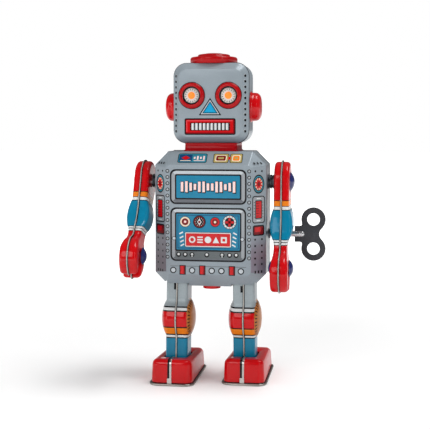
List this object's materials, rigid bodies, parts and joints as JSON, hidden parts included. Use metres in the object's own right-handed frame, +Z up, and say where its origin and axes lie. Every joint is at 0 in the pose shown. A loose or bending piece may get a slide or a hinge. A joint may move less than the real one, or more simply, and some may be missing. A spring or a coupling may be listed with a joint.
{
  "type": "clockwork walking robot",
  "caption": "Printed tin toy robot with box body and head, round ears, claw arms, hinged legs on flat feet, and a winding key at its side.",
  "frame": {"origin": "on the floor, under the middle of the whole object's box with the key and the forward arm in it", "axes": "+Z up, -Y the way the robot faces, +X its own left-hand side, where the key is"},
  "size_m": [0.1191, 0.0806, 0.1999],
  "materials": {
    "grey_tin": "grey lithographed tin",
    "red_tin": "red lacquered tin",
    "blue_tin": "blue lacquered tin",
    "plate": "bare tin plate",
    "dark_steel": "dark lacquered steel",
    "bright_steel": "turned steel",
    "spring_steel": "blued spring steel",
    "brass": "stamped brass",
    "dark_roller": "dull rubber",
    "stone": "flint",
    "lens": "translucent celluloid",
    "cord": "woven belt"
  },
  "bodies": {
    "body": {"torso_front_shell": "grey_tin", "torso_back_shell": "grey_tin", "torso_base_plate": "red_tin", "neck": "red_tin", "head_front_shell": "grey_tin", "head_back_shell": "grey_tin", "head_cap": "red_tin", "left_ear": "red_tin", "right_ear": "red_tin", "left_eye_bezel": "red_tin", "right_eye_bezel": "red_tin", "left_eye_lens": "lens", "right_eye_lens": "lens", "left_shoulder_bush": "dark_steel", "right_shoulder_bush": "dark_steel", "winding_bush": "dark_steel", "left_motor_plate": "plate", "right_motor_plate": "plate", "motor_pillars": "brass", "hip_rod": "bright_steel", "mainspring": "spring_steel", "spark_bracket": "plate", "flint": "stone", "flint_spring": "brass", "spark_belt": "cord"},
    "great_wheel": {"great_wheel": "brass", "click": "bright_steel"},
    "winding_key": {"winding_arbor": "bright_steel", "ratchet_wheel": "bright_steel", "key_tube": "bright_steel", "key_handle": "dark_steel"},
    "second_wheel": {"second_arbor": "bright_steel", "second_wheel": "brass"},
    "crank": {"crank_shaft": "bright_steel", "crank_pinion": "brass", "crank_discs": "bright_steel"},
    "governor": {"governor_arbor": "bright_steel", "governor_fan": "plate"},
    "sparker": {"spark_shaft": "bright_steel", "spark_wheel": "bright_steel"},
    "left_leg": {"left_leg_outer": "grey_tin", "left_leg_inner": "grey_tin"},
    "left_foot": {"left_ankle_pin": "bright_steel", "left_foot_shell": "red_tin", "left_sole": "plate", "left_sole_roller": "dark_roller"},
    "left_arm": {"left_arm_outer": "red_tin", "left_arm_inner": "red_tin", "left_arm_axle": "bright_steel", "left_arm_domes": "blue_tin"},
    "right_leg": {"right_leg_outer": "grey_tin", "right_leg_inner": "grey_tin"},
    "right_foot": {"right_ankle_pin": "bright_steel", "right_foot_shell": "red_tin", "right_sole": "plate", "right_sole_roller": "dark_roller"},
    "right_arm": {"right_arm_outer": "red_tin", "right_arm_inner": "red_tin", "right_arm_axle": "bright_steel", "right_arm_domes": "blue_tin"}
  },
  "joints": [
    {"name": "great_wheel_spin", "type": "hinge", "parent": "body", "child": "great_wheel", "pos_m": [-0.00935, 0.01275, 0.089], "axis": [1, 0, 0], "continuous": true},
    {"name": "winding", "type": "hinge", "parent": "great_wheel", "child": "winding_key", "pos_m": [-0.00935, 0.01275, 0.089], "axis": [1, 0, 0], "continuous": true},
    {"name": "second_wheel_spin", "type": "hinge", "parent": "body", "child": "second_wheel", "pos_m": [-0.00935, 0.01275, 0.1065], "axis": [1, 0, 0], "continuous": true},
    {"name": "crank_spin", "type": "hinge", "parent": "body", "child": "crank", "pos_m": [-0.00935, 0.00305, 0.07443], "axis": [1, 0, 0], "continuous": true},
    {"name": "governor_spin", "type": "hinge", "parent": "body", "child": "governor", "pos_m": [-0.00935, 0.01275, 0.119], "axis": [1, 0, 0], "continuous": true},
    {"name": "sparker_spin", "type": "hinge", "parent": "body", "child": "sparker", "pos_m": [-0.00935, 0.01275, 0.1726], "axis": [1, 0, 0], "continuous": true},
    {"name": "right_leg_swing", "type": "hinge", "parent": "body", "child": "right_leg", "pos_m": [-0.02975, 0.00305, 0.062], "axis": [1, 0, 0], "range_deg": [0, 8]},
    {"name": "left_leg_swing", "type": "hinge", "parent": "body", "child": "left_leg", "pos_m": [0.01105, 0.00305, 0.062], "axis": [1, 0, 0], "range_deg": [-8, 0]},
    {"name": "right_ankle", "type": "hinge", "parent": "right_leg", "child": "right_foot", "pos_m": [-0.02975, -0.00072, 0.008], "axis": [1, 0, 0], "range_deg": [-8, 0]},
    {"name": "left_ankle", "type": "hinge", "parent": "left_leg", "child": "left_foot", "pos_m": [0.01105, 0.00683, 0.008], "axis": [1, 0, 0], "range_deg": [0, 8]},
    {"name": "right_arm_swing", "type": "hinge", "parent": "body", "child": "right_arm", "pos_m": [-0.05235, 0.00855, 0.1213], "axis": [1, 0, 0], "range_deg": [0, 20]},
    {"name": "left_arm_swing", "type": "hinge", "parent": "body", "child": "left_arm", "pos_m": [0.03365, 0.00855, 0.1213], "axis": [1, 0, 0], "range_deg": [-20, 0]}
  ],
  "couplings": [
    {"joint": "second_wheel_spin", "follows": "great_wheel_spin", "ratio": -4},
    {"joint": "crank_spin", "follows": "great_wheel_spin", "ratio": -4},
    {"joint": "governor_spin", "follows": "great_wheel_spin", "ratio": 16},
    {"joint": "sparker_spin", "follows": "great_wheel_spin", "ratio": 16},
    {"joint": "left_leg_swing", "follows": "right_leg_swing", "ratio": -1},
    {"joint": "right_ankle", "follows": "right_leg_swing", "ratio": -1},
    {"joint": "left_ankle", "follows": "right_leg_swing", "ratio": 1},
    {"joint": "right_arm_swing", "follows": "right_leg_swing", "ratio": 2.5},
    {"joint": "left_arm_swing", "follows": "right_leg_swing", "ratio": -2.5}
  ]
}
